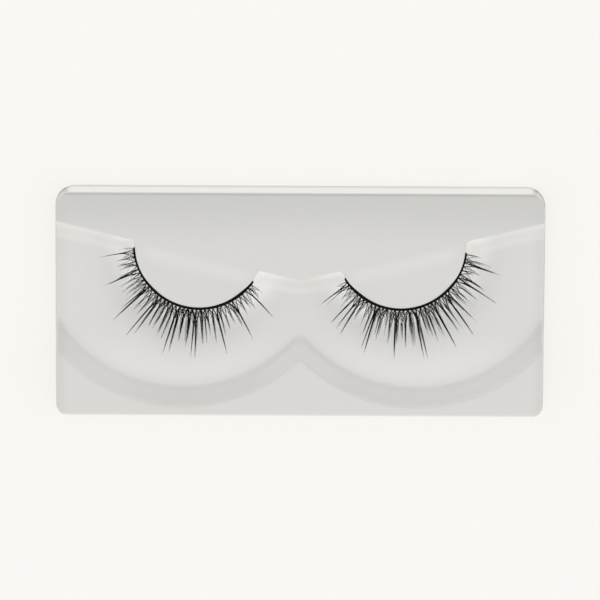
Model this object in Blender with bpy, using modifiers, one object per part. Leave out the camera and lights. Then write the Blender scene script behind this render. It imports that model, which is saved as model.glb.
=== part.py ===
"""A pair of false eyelashes on their display tray.

Metres, +Z up. The tray stands on its lip at z = 0. The brow side is +Y, and the left lash is at -X. The
origin is at the bottom centre of the tray.

The tray is one thin shell, hollow underneath. From back to front it has the brow, whose front line is a
shallow V, two round lids, a coved valley that the hairs hover over, a sloping wall that follows two cheek
arcs, and a flat front land. Each lash is a band bent round a lid, and a fringe of tapered locks on a thin
root strip.
"""

import math

import bmesh
import bpy
from mathutils import Matrix, Vector

# Tray shell
WALL = 0.0005
BACK_CORNER = 0.0040
FRONT_CORNER = 0.0025
EDGE_ROUND = 0.0008
SKIRT_DRAFT_DEG = 1.5
LIP_WIDTH = 0.00025

# Heights above the surface that the tray stands on
BROW_HEIGHT = 0.0110
BROW_FALL = 0.0018
LID_STEP = 0.0006
FLOOR_HEIGHT = 0.0056
LAND_HEIGHT = 0.0105

# Brow line, a V whose nose is rounded
BROW_DEPTH = 0.0198
BROW_SLOPE = 0.243
BROW_NOSE = 0.0022
CREASE_WIDTH = 0.0010

# Lids, the cove under them, and the corner where a lid meets the brow line
LID_RADIUS = 0.0139
LID_SET_BACK = 0.0081
COVE_RUN = 0.0046
CORNER_SOFT = 0.0010

# Cheeks, the sloping wall and the land in front of it
CHEEK_OFFSET = 0.0038
CHEEK_OVERRUN = 0.0058
FOOT_NOSE = 0.0012
CREST_NOSE = 0.0003
SLOPE_RUN = 0.0039
LAND_WIDTH = 0.0020

# Room that the lashes keep on the tray
TIP_ROOM = 0.0062
SIDE_ROOM = 0.0092
MIDDLE_GAP = 0.0099

# Lashes
FIT_GAP = 0.0003
BAND_THICKNESS = 0.0007
BAND_SINK = 0.0001
BAND_SPAN_DEG = 143.6
BAND_MIDDLE_DEG = -76.0
ROOT_SIZE = 0.0004
LOCK_COUNT = 35
LASH_LENGTH = 0.0112
LOCK_TIP = 0.16
LOCK_TAPER = 1.4
LOCK_DROOP = 0.0011
LOCK_LIFT = 0.0005

# The two lashes: the side of the tray each lies on, and how far it is slid round its lid, in degrees
LASHES = (
    {"name": "left", "side": -1, "slide": 1.7},
    {"name": "right", "side": 1, "slide": -1.7},
)

# The long spikes, from the outer end of a lash to the inner one: the place as a share of the band, the
# length as a share of the longest, and the lean off the band's own normal in degrees
SPIKES = (
    {"place": 0.06, "length": 0.72, "lean": 4.0},
    {"place": 0.17, "length": 0.86, "lean": 3.0},
    {"place": 0.28, "length": 1.00, "lean": 2.0},
    {"place": 0.39, "length": 0.97, "lean": 1.0},
    {"place": 0.50, "length": 0.98, "lean": 0.0},
    {"place": 0.61, "length": 0.97, "lean": 0.0},
    {"place": 0.72, "length": 0.94, "lean": -1.0},
    {"place": 0.83, "length": 0.86, "lean": -2.0},
    {"place": 0.94, "length": 0.70, "lean": -3.0},
)

# The filler between the spikes: its length at the middle and at the ends, as shares of the longest, how
# fast it grows off the ends, and the small wave in its lengths
FILLER_SHARE = 0.62
END_SHARE = 0.42
FILLER_GROWTH = 0.7
WAVE_SHARE = 0.08
WAVE_TURN = 2.4

# How finely the shell and the locks are divided, and how far the columns beside the lids fan out
SIDE_FAN = 0.25
SMOOTH_UP_TO_DEG = 35
MERGE_DISTANCE = 1e-6
NOSE_STEPS = 4
LID_STEPS = 18
ROUND_STEPS = 2
LOCK_STEPS = 3
BAND_POINTS = 25
TUBE_RESOLUTION = 2

# Where the shell's rows lie, as shares of each stretch from back to front, and its columns beside the lids
BROW_SHARES = (0.0, 0.07, 0.18, 0.45, 0.75, 1.0)
LID_SHARES = (0.3, 0.6, 0.9)
COVE_SHARES = (0.07, 0.25, 0.55, 1.0)
FLOOR_SHARES = (0.30, 0.65)
SLOPE_ROWS = (
    {"run": -0.16, "rise": 0.0},
    {"run": 0.12, "rise": 0.06},
    {"run": 0.42, "rise": 0.36},
    {"run": 1.0, "rise": 1.0},
)
LAND_SHARES = (0.5, 0.88, 0.95, 1.0)
SIDE_SHARES = (0.3, 0.6, 0.83, 0.9, 0.96, 1.0)

# Lash geometry that the tray is laid out from
BAND_RADIUS = LID_RADIUS + FIT_GAP + BAND_THICKNESS / 2
ROOT_INNER = BAND_RADIUS + BAND_THICKNESS / 2 + FIT_GAP
ROOT_OUTER = ROOT_INNER + ROOT_SIZE
LID_TOP = BROW_HEIGHT - LID_STEP
BAND_Z = LID_TOP - BAND_SINK


def lock_angle(share, slide=0.0):
    """Angle about the lid's centre of a place on the band, whose outer end is 0 and inner end 1."""
    start = BAND_MIDDLE_DEG + BAND_SPAN_DEG / 2
    return math.radians(start - BAND_SPAN_DEG * share + slide)


def nearest_spike(share):
    return min(SPIKES, key=lambda spike: abs(spike["place"] - share))


def lock_length(index):
    """Length of a lock: a spike where the table has one, and otherwise filler, shorter at the ends."""
    share = (index + 0.5) / LOCK_COUNT
    spike = nearest_spike(share)
    if abs(spike["place"] - share) <= 0.5 / LOCK_COUNT:
        return LASH_LENGTH * spike["length"]
    fullness = math.sin(math.pi * share) ** FILLER_GROWTH
    wave = WAVE_SHARE * math.sin(index * WAVE_TURN)
    return LASH_LENGTH * (END_SHARE + (FILLER_SHARE - END_SHARE) * fullness + wave)


def tip_reach(direction):
    """How far the locks' tips reach from the lid's centre along X, outward (+1) or inward (-1)."""
    reaches = []
    for lash in LASHES:
        for index in range(LOCK_COUNT):
            angle = lock_angle((index + 0.5) / LOCK_COUNT, lash["slide"])
            reaches.append(direction * math.cos(angle) * (ROOT_OUTER + lock_length(index)))
    return max(reaches)


# Layout of the tray, worked out from the lashes and the stretches between the lines
LID_X = MIDDLE_GAP / 2 + tip_reach(-1)
HALF_LENGTH = LID_X + tip_reach(1) + SIDE_ROOM
LID_LOW = BROW_DEPTH - LID_SET_BACK + LID_RADIUS
VALLEY_DEPTH = (ROOT_OUTER - LID_RADIUS) + LASH_LENGTH + TIP_ROOM
HALF_DEPTH = (LID_LOW + VALLEY_DEPTH + SLOPE_RUN + LAND_WIDTH) / 2
APEX_Y = HALF_DEPTH - BROW_DEPTH
LID_Y = APEX_Y + LID_SET_BACK
EDGE_X = HALF_LENGTH - EDGE_ROUND
EDGE_Y = HALF_DEPTH - EDGE_ROUND
CHEEK_X = LID_X + CHEEK_OFFSET
FOOT_RADIUS = EDGE_X - CHEEK_X + CHEEK_OVERRUN
CHEEK_Y = LAND_WIDTH + SLOPE_RUN + FOOT_RADIUS - HALF_DEPTH


def mix(a, b, share):
    return a + (b - a) * share


def smooth(share):
    share = min(max(share, 0.0), 1.0)
    return share * share * (3 - 2 * share)


def brow_line(x):
    return APEX_Y + BROW_SLOPE * math.hypot(x, BROW_NOSE)


def cheek_line(x, radius, nose):
    across = math.hypot(x, nose) - CHEEK_X
    return CHEEK_Y - math.sqrt(radius * radius - across * across)


def lid_crossing(side):
    """X where the lid's circle crosses the straight brow line: the inner crossing is -1, the outer +1."""
    a = 1 + BROW_SLOPE**2
    b = -LID_X - BROW_SLOPE * LID_SET_BACK
    c = LID_X**2 + LID_SET_BACK**2 - LID_RADIUS**2
    return (-b + side * math.sqrt(b * b - a * c)) / a


def from_wall(x, y):
    """Distance in front of the wall that the brow line and the lid make, rounded in their corner."""
    brow = (brow_line(x) - y) / math.hypot(1, BROW_SLOPE)
    lid = math.hypot(x - LID_X, y - LID_Y) - LID_RADIUS
    blend = max(CORNER_SOFT - abs(brow - lid), 0.0) / CORNER_SOFT
    return min(brow, lid) - blend * blend * CORNER_SOFT / 4


def high_ground(x, y):
    """Height of the brow and the lids, with the soft crease where a lid lies a step below the brow."""
    line = brow_line(x)
    back = max(y - line, 0.0) / (HALF_DEPTH - line)
    fall = BROW_FALL * back * back
    inner, outer = lid_crossing(-1), lid_crossing(1)
    fade = smooth((x - inner) / COVE_RUN) * smooth((outer - x) / COVE_RUN)
    crease = smooth((line - y) / CREASE_WIDTH + 0.5)
    return BROW_HEIGHT - fall - LID_STEP * fade * crease


def low_ground(x, y):
    """Height of the valley: a quarter of an ellipse off the wall, then the flat floor."""
    share = min(max(from_wall(x, y) / COVE_RUN, 0.0), 1.0)
    cove = 1 - math.sqrt(1 - (1 - share) ** 2)
    return mix(FLOOR_HEIGHT, LID_TOP - LID_STEP / 2, cove)


def stations():
    """From the middle to the side: X on the back edge, the wall's top point, and X on the cheeks."""
    inner, outer = lid_crossing(-1), lid_crossing(1)
    last = mix(EDGE_X, outer, SIDE_FAN)
    made = []
    for i in range(NOSE_STEPS):
        x = inner * i / NOSE_STEPS
        made.append((x, Vector((x, brow_line(x))), x))
    start = math.atan2(brow_line(inner) - LID_Y, inner - LID_X)
    end = math.atan2(brow_line(outer) - LID_Y, outer - LID_X)
    for i in range(LID_STEPS + 1):
        share = i / LID_STEPS
        angle = mix(start, end, share)
        wall = Vector((LID_X + LID_RADIUS * math.cos(angle), LID_Y + LID_RADIUS * math.sin(angle)))
        made.append((mix(inner, outer, share), wall, mix(inner, last, share)))
    for share in SIDE_SHARES:
        x = mix(outer, EDGE_X, share)
        made.append((x, Vector((x, brow_line(x))), mix(last, EDGE_X, share)))
    return made


def column(back_x, wall, cheek_x):
    """One line of the shell's top surface, from its back edge to its front edge."""
    crease = Vector((back_x, brow_line(back_x) + CREASE_WIDTH))
    foot = Vector((cheek_x, cheek_line(cheek_x, FOOT_RADIUS, FOOT_NOSE)))
    crest = Vector((cheek_x, cheek_line(cheek_x, FOOT_RADIUS + SLOPE_RUN, CREST_NOSE)))
    valley_end = mix(foot, crest, SLOPE_ROWS[0]["run"])
    toe = wall + (valley_end - wall).normalized() * COVE_RUN
    lid_length = (crease - wall).length
    past_crease = 2 * CREASE_WIDTH / (lid_length + CREASE_WIDTH)

    places = [(Vector((back_x, mix(EDGE_Y, crease.y, share))), high_ground) for share in BROW_SHARES]
    places += [(mix(crease, wall, past_crease * share), high_ground) for share in LID_SHARES]
    places += [(mix(wall, toe, share), low_ground) for share in COVE_SHARES]
    places += [(mix(toe, valley_end, share), low_ground) for share in FLOOR_SHARES]
    points = [(*place, ground(*place)) for place, ground in places]
    edge_row = len(BROW_SHARES) + len(LID_SHARES)
    points.insert(edge_row, (*wall, high_ground(*wall)))
    for row in SLOPE_ROWS:
        points.append((*mix(foot, crest, row["run"]), mix(FLOOR_HEIGHT, LAND_HEIGHT, row["rise"])))
    for share in LAND_SHARES:
        points.append((crest.x, mix(crest.y, -EDGE_Y, share), LAND_HEIGHT))
    return points


def corner_radius(y):
    return BACK_CORNER if y > 0 else FRONT_CORNER


def into_corner(x, y):
    """Pulls a point of the square-cornered plan into the round-cornered one."""
    radius = corner_radius(y) - EDGE_ROUND
    across = (x - (EDGE_X - radius)) / radius
    along = (abs(y) - (EDGE_Y - radius)) / radius
    if across <= 0 or along <= 0:
        return x, y
    round_x = EDGE_X - radius + radius * across * math.sqrt(1 - along * along / 2)
    round_y = EDGE_Y - radius + radius * along * math.sqrt(1 - across * across / 2)
    return round_x, math.copysign(round_y, y)


def outward(x, y):
    """The plan's outward direction at a point on its edge."""
    radius = corner_radius(y) - EDGE_ROUND
    across = max(x - (EDGE_X - radius), 0.0)
    along = max(abs(y) - (EDGE_Y - radius), 0.0)
    return Vector((across, math.copysign(along, y), 0)).normalized()


def new_object(name, mesh_or_curve, material):
    made = bpy.data.objects.new(name, mesh_or_curve)
    mesh_or_curve.materials.append(material)
    parts.objects.link(made)
    return made


def new_material(name, colour, roughness):
    made = bpy.data.materials.new(name)
    made.use_nodes = True
    shader = made.node_tree.nodes["Principled BSDF"]
    shader.inputs["Base Color"].default_value = (*colour, 1)
    shader.inputs["Roughness"].default_value = roughness
    shader.inputs["Metallic"].default_value = 0
    return made


def make_tray(material):
    """Half of the top surface, its rounded edge, skirt and lip, then mirrored and given its wall."""
    columns = [column(*station) for station in stations()]
    across, along = len(columns) - 1, len(columns[0]) - 1
    bm = bmesh.new()
    bmesh.ops.create_grid(bm, x_segments=across, y_segments=along, size=1)
    for vert in bm.verts:
        i = round((vert.co.x + 1) / 2 * across)
        j = round((1 - vert.co.y) / 2 * along)
        x, y, z = columns[i][j]
        vert.co = (*into_corner(x, y), z)

    rim = [e for e in bm.edges if e.is_boundary and max(v.co.x for v in e.verts) > 0]
    slope = math.tan(math.radians(SKIRT_DRAFT_DEG))
    start = {v: v.co.copy() for e in rim for v in e.verts}
    away = {v: outward(v.co.x, v.co.y) for v in start}
    bends = [math.pi / 2 * (i + 1) / ROUND_STEPS for i in range(ROUND_STEPS)]
    rings = [(EDGE_ROUND * math.sin(bend), EDGE_ROUND * (1 - math.cos(bend))) for bend in bends]
    rings += [(EDGE_ROUND, None), (EDGE_ROUND + LIP_WIDTH, None)]
    for out, down in rings:
        made = bmesh.ops.extrude_edge_only(bm, edges=rim)["geom"]
        rim = [g for g in made if isinstance(g, bmesh.types.BMEdge)]
        for vert in [g for g in made if isinstance(g, bmesh.types.BMVert)]:
            source = min(start, key=lambda v: (v.co - vert.co).length)
            start[vert], away[vert] = start[source], away[source]
            vert.co.z = WALL if down is None else start[vert].z - down
            push = out + slope * (BROW_HEIGHT - vert.co.z)
            vert.co.xy = (start[vert] + away[vert] * push).xy
        start = {v: start[v] for e in rim for v in e.verts}
        away = {v: away[v] for v in start}

    bmesh.ops.remove_doubles(bm, verts=bm.verts, dist=MERGE_DISTANCE)
    bmesh.ops.recalc_face_normals(bm, faces=bm.faces)
    mesh = bpy.data.meshes.new("tray")
    bm.to_mesh(mesh)
    bm.free()
    mesh.shade_smooth()
    mesh.set_sharp_from_angle(angle=math.radians(SMOOTH_UP_TO_DEG))

    tray = new_object("tray", mesh, material)
    mirror = tray.modifiers.new("Mirror", "MIRROR")
    mirror.use_clip = True
    mirror.merge_threshold = MERGE_DISTANCE
    shell = tray.modifiers.new("Shell", "SOLIDIFY")
    shell.thickness = WALL
    shell.offset = -1
    shell.use_even_offset = True
    shell.use_quality_normals = True
    return tray


def place_on_lid(angle, radius, z, side):
    return Vector((side * (LID_X + radius * math.cos(angle)), LID_Y + radius * math.sin(angle), z))


def make_band(lash, material):
    """The band, a thin round cord bent round its lid."""
    curve = bpy.data.curves.new(lash["name"] + "_band", "CURVE")
    curve.dimensions = "3D"
    curve.bevel_depth = BAND_THICKNESS / 2
    curve.bevel_resolution = TUBE_RESOLUTION
    curve.use_fill_caps = True
    spline = curve.splines.new("POLY")
    spline.points.add(BAND_POINTS - 1)
    for i, point in enumerate(spline.points):
        angle = lock_angle(i / (BAND_POINTS - 1), lash["slide"])
        point.co = (*place_on_lid(angle, BAND_RADIUS, BAND_Z, lash["side"]), 1)
    return new_object(lash["name"] + "_band", curve, material)


def make_fringe(lash, material):
    """A root strip turned round the lid, with each face of its outer side drawn out into a tapered lock."""
    bm = bmesh.new()
    first = lock_angle(0, lash["slide"])
    corners = [
        place_on_lid(first, radius, BAND_Z + ROOT_SIZE * level, 1)
        for radius, level in ((ROOT_INNER, -0.5), (ROOT_OUTER, -0.5), (ROOT_OUTER, 0.5), (ROOT_INNER, 0.5))
    ]
    section = bm.faces.new([bm.verts.new(corner) for corner in corners])
    bmesh.ops.spin(
        bm,
        geom=[section],
        cent=(LID_X, LID_Y, 0),
        axis=(0, 0, 1),
        angle=-math.radians(BAND_SPAN_DEG),
        steps=LOCK_COUNT,
    )
    bmesh.ops.recalc_face_normals(bm, faces=bm.faces)
    centre = Vector((LID_X, LID_Y))
    reach = {face: (face.calc_center_median().xy - centre).length for face in bm.faces}
    outer = [f for f in bm.faces if abs(reach[f] - ROOT_OUTER) < ROOT_SIZE / 4 and abs(f.normal.z) < 0.5]
    for face in outer:
        root = face.calc_center_median()
        ray = (root.xy - centre).normalized()
        turned = math.degrees(first - math.atan2(ray.y, ray.x))
        index = min(int(turned / BAND_SPAN_DEG * LOCK_COUNT), LOCK_COUNT - 1)
        lean = math.radians(nearest_spike((index + 0.5) / LOCK_COUNT)["lean"])
        ray = Matrix.Rotation(lean, 2) @ ray
        length = lock_length(index)
        here, size = root, 1.0
        for step in range(1, LOCK_STEPS + 1):
            share = step / LOCK_STEPS
            height = root.z + LOCK_LIFT * share * share - LOCK_DROOP * 4 * share * (1 - share)
            there = Vector((*(root.xy + ray * length * share), height))
            girth = mix(1.0, LOCK_TIP, share**LOCK_TAPER)
            face = bmesh.ops.extrude_discrete_faces(bm, faces=[face])["faces"][0]
            for vert in face.verts:
                vert.co = there + (vert.co - here) * (girth / size)
            here, size = there, girth
    if lash["side"] < 0:
        bmesh.ops.scale(bm, verts=bm.verts, vec=(-1, 1, 1))
        bmesh.ops.reverse_faces(bm, faces=bm.faces)
    mesh = bpy.data.meshes.new(lash["name"] + "_fringe")
    bm.to_mesh(mesh)
    bm.free()
    return new_object(lash["name"] + "_fringe", mesh, material)


for old in list(bpy.data.objects):
    bpy.data.objects.remove(old, do_unlink=True)
parts = bpy.data.collections.new("false_eyelash_pair_on_tray")
bpy.context.scene.collection.children.link(parts)

make_tray(new_material("tray", (0.80, 0.80, 0.78), 0.35))
for each in LASHES:
    make_band(each, new_material(each["name"] + "_band", (0.012, 0.012, 0.012), 0.6))
    make_fringe(each, new_material(each["name"] + "_fringe", (0.015, 0.013, 0.012), 0.45))
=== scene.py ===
"""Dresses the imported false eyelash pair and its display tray.

The tray is made again as a finely moulded sheet, each band as a knotted cotton cord, and each fringe as
some hundreds of single hairs. Metres, in the part's own frame: the tray stands at z = 0, the brow side is
+Y and the left lash is at -X.
"""

import math
import random

import bmesh
import bpy
from bpy.props import FloatProperty, FloatVectorProperty, IntProperty, PointerProperty
from mathutils import Matrix, Vector


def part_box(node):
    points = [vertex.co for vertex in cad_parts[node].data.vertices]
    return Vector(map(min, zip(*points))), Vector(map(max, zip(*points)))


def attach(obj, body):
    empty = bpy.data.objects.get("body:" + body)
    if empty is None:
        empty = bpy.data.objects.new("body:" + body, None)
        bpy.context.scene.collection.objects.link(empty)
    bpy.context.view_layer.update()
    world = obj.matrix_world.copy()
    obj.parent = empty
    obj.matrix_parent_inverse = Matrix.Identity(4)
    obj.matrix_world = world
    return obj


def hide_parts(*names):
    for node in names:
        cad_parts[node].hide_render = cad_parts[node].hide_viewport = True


bl_info = {
    "name": "False Eyelash Pair on a Display Tray",
    "version": (1, 0, 0),
    "blender": (4, 5, 0),
    "location": "3D View > Sidebar > Lashes",
    "description": "Moulded tray, knotted bands and single hairs for a pair of strip lashes",
    "category": "Object",
}

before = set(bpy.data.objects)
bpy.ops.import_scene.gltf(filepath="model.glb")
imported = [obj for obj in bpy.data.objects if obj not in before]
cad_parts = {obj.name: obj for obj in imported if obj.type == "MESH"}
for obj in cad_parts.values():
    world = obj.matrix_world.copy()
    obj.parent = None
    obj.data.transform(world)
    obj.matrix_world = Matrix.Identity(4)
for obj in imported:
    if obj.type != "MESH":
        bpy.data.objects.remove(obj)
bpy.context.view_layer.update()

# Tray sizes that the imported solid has
WALL = 0.0005
SKIRT_DRAFT = math.radians(1.5)
LIP_WIDTH = 0.00025
BACK_CORNER = 0.0040
FRONT_CORNER = 0.0025
SOLID_EDGE_ROUND = 0.0008
BROW_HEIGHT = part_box("tray")[1].z
BROW_FALL = 0.0018
LID_STEP = 0.0006
FLOOR_HEIGHT = 0.0056
LAND_HEIGHT = 0.0105
BROW_DEPTH = 0.0198
BROW_SLOPE = 0.243
BROW_NOSE = 0.0022
LID_RADIUS = 0.0139
LID_SET_BACK = 0.0081
COVE_RUN = 0.0046
CHEEK_OFFSET = 0.0038
CHEEK_OVERRUN = 0.0058
FOOT_NOSE = 0.0012
CREST_NOSE = 0.0003
SLOPE_RUN = 0.0039
LAND_WIDTH = 0.0020

# Finer sizes of this tray: its sheet, its rounded edge, the soft corner between brow and lid, and how far a
# lid's wall is moulded out under its band
SHEET = 0.00032
EDGE_ROUND = 0.0004
CORNER_SOFT = 0.0007
LID_SEAT = 0.00055

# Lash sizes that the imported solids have
FIT_GAP = 0.0003
BAND_THICKNESS = 0.0007
BAND_RADIUS = LID_RADIUS + FIT_GAP + BAND_THICKNESS / 2
BAND_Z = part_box("right_band")[1].z - BAND_THICKNESS / 2
BAND_SPAN = math.radians(143.6)
BAND_MIDDLE = math.radians(-76.0)
BAND_SLIDE = math.radians(1.7)
HAIR_DROOP = 0.0011
HAIR_LIFT = 0.0005

# Places worked out from them
SEAT_RADIUS = LID_RADIUS + LID_SEAT
SKIRT_REACH = LIP_WIDTH + math.tan(SKIRT_DRAFT) * (BROW_HEIGHT - WALL)
HALF_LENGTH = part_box("tray")[1].x - SKIRT_REACH
HALF_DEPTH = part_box("tray")[1].y - SKIRT_REACH
EDGE_X = HALF_LENGTH - EDGE_ROUND
EDGE_Y = HALF_DEPTH - EDGE_ROUND
APEX_Y = HALF_DEPTH - BROW_DEPTH
LID_Y = APEX_Y + LID_SET_BACK
RIGHT_END = BAND_MIDDLE + BAND_SPAN / 2 - BAND_SLIDE
LID_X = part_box("right_band")[1].x - (BAND_RADIUS + BAND_THICKNESS / 2) * math.cos(RIGHT_END)
CHEEK_X = LID_X + CHEEK_OFFSET
FOOT_RADIUS = HALF_LENGTH - SOLID_EDGE_ROUND - CHEEK_X + CHEEK_OVERRUN
CHEEK_Y = LAND_WIDTH + SLOPE_RUN + FOOT_RADIUS - HALF_DEPTH

# How finely the tray is divided: its columns from the middle to the side, and its rows from back to front
NOSE_STEPS = 16
LID_STEPS = 72
SIDE_STEPS = 40
BROW_ROWS = 24
LID_ROWS = 12
EDGE_ROWS = 6
COVE_ROWS = 16
FLOOR_ROWS = 14
SLOPE_ROWS = 18
LAND_ROWS = 10
ROUND_ROWS = 6
SKIRT_ROWS = 3
MERGE_DISTANCE = 1e-6

# How the columns fan out and crowd at the sides, how the lid's rows crowd at its edge, and how much of the
# way to the next form the edge and the cove may take where the wall is steep or runs aslant
SIDE_FAN = 0.25
SIDE_CROWDING = 1.3
LID_CROWDING = 1.6
LEAST_SLANT = 0.3
EDGE_SHARE = 0.8
COVE_SHARE = 0.75
WALL_TRIES = 6

# How far the slope's foot and crest are rounded, as a share of its run
FOOT_BLEND = 0.14
CREST_BLEND = 0.10

# Hairs: each lash's clumps from its outer end to its inner one. A row has the angle of the clump's root and
# of its tip about the lid's centre in degrees, with -90 towards the front, its length past the band and its
# half width in millimetres, and how many hairs it gathers.
LASHES = {
    "left": {
        "side": -1,
        "slide": BAND_SLIDE,
        "seed": 11,
        "clumps": (
            (-3.6, -3.4, 2.3, 0.10, 3), (-7.2, -7.5, 7.6, 0.05, 7), (-10.0, -10.5, 3.3, 0.10, 4),
            (-12.5, -11.5, 4.0, 0.12, 5), (-15.2, -15.0, 4.2, 0.12, 5), (-18.0, -18.2, 4.0, 0.12, 5),
            (-21.8, -23.6, 6.0, 0.14, 8), (-24.5, -24.0, 8.7, 0.10, 11), (-28.2, -28.5, 5.2, 0.10, 6),
            (-31.4, -32.0, 5.8, 0.12, 5), (-34.5, -34.6, 5.2, 0.12, 5), (-37.4, -37.3, 5.6, 0.12, 5),
            (-39.9, -39.7, 8.0, 0.07, 8), (-40.8, -41.6, 11.0, 0.09, 13), (-45.0, -45.1, 6.2, 0.12, 7),
            (-48.4, -48.6, 6.8, 0.12, 8), (-53.0, -51.5, 11.0, 0.09, 11), (-54.6, -54.2, 9.8, 0.09, 11),
            (-57.6, -58.5, 6.8, 0.14, 12), (-61.5, -61.0, 7.4, 0.16, 9), (-64.5, -65.0, 8.3, 0.20, 12),
            (-68.2, -68.0, 8.4, 0.12, 10), (-71.4, -71.5, 11.3, 0.09, 14), (-73.5, -74.3, 10.4, 0.10, 8),
            (-77.0, -78.0, 7.6, 0.14, 14), (-82.2, -82.5, 8.3, 0.22, 18), (-86.8, -85.9, 10.4, 0.08, 9),
            (-87.6, -87.9, 10.6, 0.12, 16), (-91.6, -92.0, 7.6, 0.12, 11), (-94.4, -94.6, 7.4, 0.10, 6),
            (-96.6, -97.2, 5.9, 0.10, 7), (-100.6, -100.0, 7.9, 0.10, 10), (-104.0, -104.3, 10.5, 0.08, 15),
            (-107.2, -106.2, 7.2, 0.08, 6), (-110.0, -110.2, 5.8, 0.12, 7), (-113.6, -114.2, 5.2, 0.12, 8),
            (-117.2, -118.0, 6.6, 0.10, 7), (-120.2, -119.7, 9.7, 0.07, 14), (-124.8, -125.0, 4.2, 0.12, 6),
            (-128.4, -128.5, 4.0, 0.10, 5), (-132.0, -131.2, 5.2, 0.10, 5), (-136.2, -135.5, 8.6, 0.06, 11),
            (-139.2, -138.0, 3.4, 0.10, 4), (-141.0, -142.8, 3.0, 0.06, 3),
        ),
    },
    "right": {
        "side": 1,
        "slide": -BAND_SLIDE,
        "seed": 23,
        "clumps": (
            (-8.2, -8.6, 3.6, 0.10, 4), (-12.4, -13.0, 5.7, 0.10, 5), (-15.6, -16.5, 8.6, 0.10, 13),
            (-19.8, -20.5, 4.2, 0.12, 6), (-22.6, -22.2, 3.2, 0.12, 5), (-26.6, -28.0, 6.4, 0.12, 9),
            (-30.4, -31.0, 10.5, 0.07, 12), (-34.8, -35.4, 6.4, 0.12, 7), (-39.0, -39.4, 6.4, 0.12, 6),
            (-42.2, -41.6, 5.6, 0.12, 6), (-46.6, -45.6, 8.4, 0.08, 8), (-45.8, -45.2, 10.8, 0.03, 3),
            (-48.2, -50.8, 11.5, 0.07, 15), (-53.8, -53.4, 8.2, 0.12, 9), (-57.4, -55.9, 8.4, 0.10, 10),
            (-61.4, -61.3, 11.2, 0.10, 17), (-65.4, -64.4, 8.2, 0.14, 9), (-68.2, -68.6, 8.2, 0.16, 11),
            (-71.0, -70.4, 7.6, 0.14, 9), (-73.4, -72.8, 6.8, 0.14, 8), (-76.9, -76.4, 11.5, 0.09, 9),
            (-77.4, -78.3, 11.0, 0.10, 14), (-82.0, -82.2, 8.3, 0.22, 14), (-85.6, -87.2, 8.5, 0.09, 12),
            (-89.0, -89.2, 6.4, 0.16, 8), (-92.0, -92.4, 7.4, 0.14, 10), (-94.2, -93.3, 11.2, 0.09, 12),
            (-97.4, -97.4, 7.4, 0.16, 10), (-101.0, -100.4, 5.4, 0.12, 7), (-104.6, -104.5, 7.2, 0.12, 8),
            (-107.2, -106.2, 6.2, 0.08, 8), (-110.2, -108.6, 11.0, 0.08, 12),
            (-111.4, -110.8, 10.0, 0.07, 11), (-114.0, -113.2, 6.8, 0.10, 7),
            (-117.0, -116.6, 5.7, 0.12, 7), (-122.0, -122.2, 5.8, 0.12, 7),
            (-125.4, -124.0, 9.6, 0.08, 9), (-127.6, -127.6, 9.0, 0.07, 9),
            (-130.4, -131.8, 8.6, 0.08, 7), (-134.2, -134.0, 4.4, 0.10, 5), (-137.8, -137.6, 3.6, 0.10, 5),
            (-141.8, -141.0, 7.8, 0.05, 6), (-143.2, -143.4, 8.0, 0.05, 10), (-146.0, -147.0, 2.8, 0.06, 4),
        ),
    },
}


def mix(a, b, share):
    return a + (b - a) * share


def clamp(value, low=0.0, high=1.0):
    return min(max(value, low), high)


def smooth(share):
    share = clamp(share)
    return share * share * (3 - 2 * share)


def ramp_corner(run, blend):
    """A ramp that starts at run 0, with its corner rounded over blend on both sides."""
    if run <= -blend:
        return 0.0
    if run >= blend:
        return run
    return (run + blend) ** 2 / (4 * blend)


class TraySettings(bpy.types.PropertyGroup):
    """Sizes and colours of the moulded tray."""

    crease_width: FloatProperty(
        name="Crease width",
        description="Width of the soft step from brow to lid",
        default=0.0044,
        unit="LENGTH",
    )
    top_round: FloatProperty(
        name="Top rounding",
        description="Radius of the top edge of brow and lids",
        default=0.00036,
        unit="LENGTH",
    )
    colour: FloatVectorProperty(
        name="Colour",
        description="Colour of the plastic sheet",
        default=(0.690, 0.685, 0.666),
        subtype="COLOR",
    )
    # Painted light: a paler sheet colour blended into the valley, the slope and the skirt so that they look
    # more brightly lit
    painted_light_colour: FloatVectorProperty(
        name="Drawn colour",
        description="Colour where the sheet is drawn thin and lets light through",
        default=(0.845, 0.838, 0.815),
        subtype="COLOR",
    )
    # Painted shade: a darker sheet colour blended in along the back and towards the ends
    painted_shade_colour: FloatVectorProperty(
        name="Back colour",
        description="Colour of the thick sheet along the back and the ends",
        default=(0.602, 0.600, 0.583),
        subtype="COLOR",
    )
    # Painted shade: a darker line along the rounded back edge, where it turns away from the light
    fold_shade_colour: FloatVectorProperty(
        name="Fold colour",
        description="Colour of the sharp fold along the back edge",
        default=(0.500, 0.498, 0.487),
        subtype="COLOR",
    )
    # Painted light: the colour of the glow painted onto the sheet round the lashes and in the cove
    painted_glow_colour: FloatVectorProperty(
        name="Light through",
        description="Colour of the light that comes through the sheet",
        default=(1.0, 0.995, 0.97),
        subtype="COLOR",
    )
    roughness: FloatProperty(
        name="Roughness", description="Satin of the sheet", default=0.36, subtype="FACTOR"
    )


class BandSettings(bpy.types.PropertyGroup):
    """Sizes and colours of the knotted cotton bands."""

    knot_pitch: FloatProperty(
        name="Knot pitch", description="Distance from knot to knot", default=0.00062, unit="LENGTH"
    )
    knot_swell: FloatProperty(
        name="Knot swell",
        description="How far a knot stands out, as a share",
        default=0.09,
        subtype="FACTOR",
    )
    colour: FloatVectorProperty(
        name="Colour", description="Colour of the cotton", default=(0.003, 0.003, 0.003), subtype="COLOR"
    )
    worn_colour: FloatVectorProperty(
        name="Dusty colour",
        description="Colour of the fibres on top",
        default=(0.008, 0.008, 0.008),
        subtype="COLOR",
    )


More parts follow.
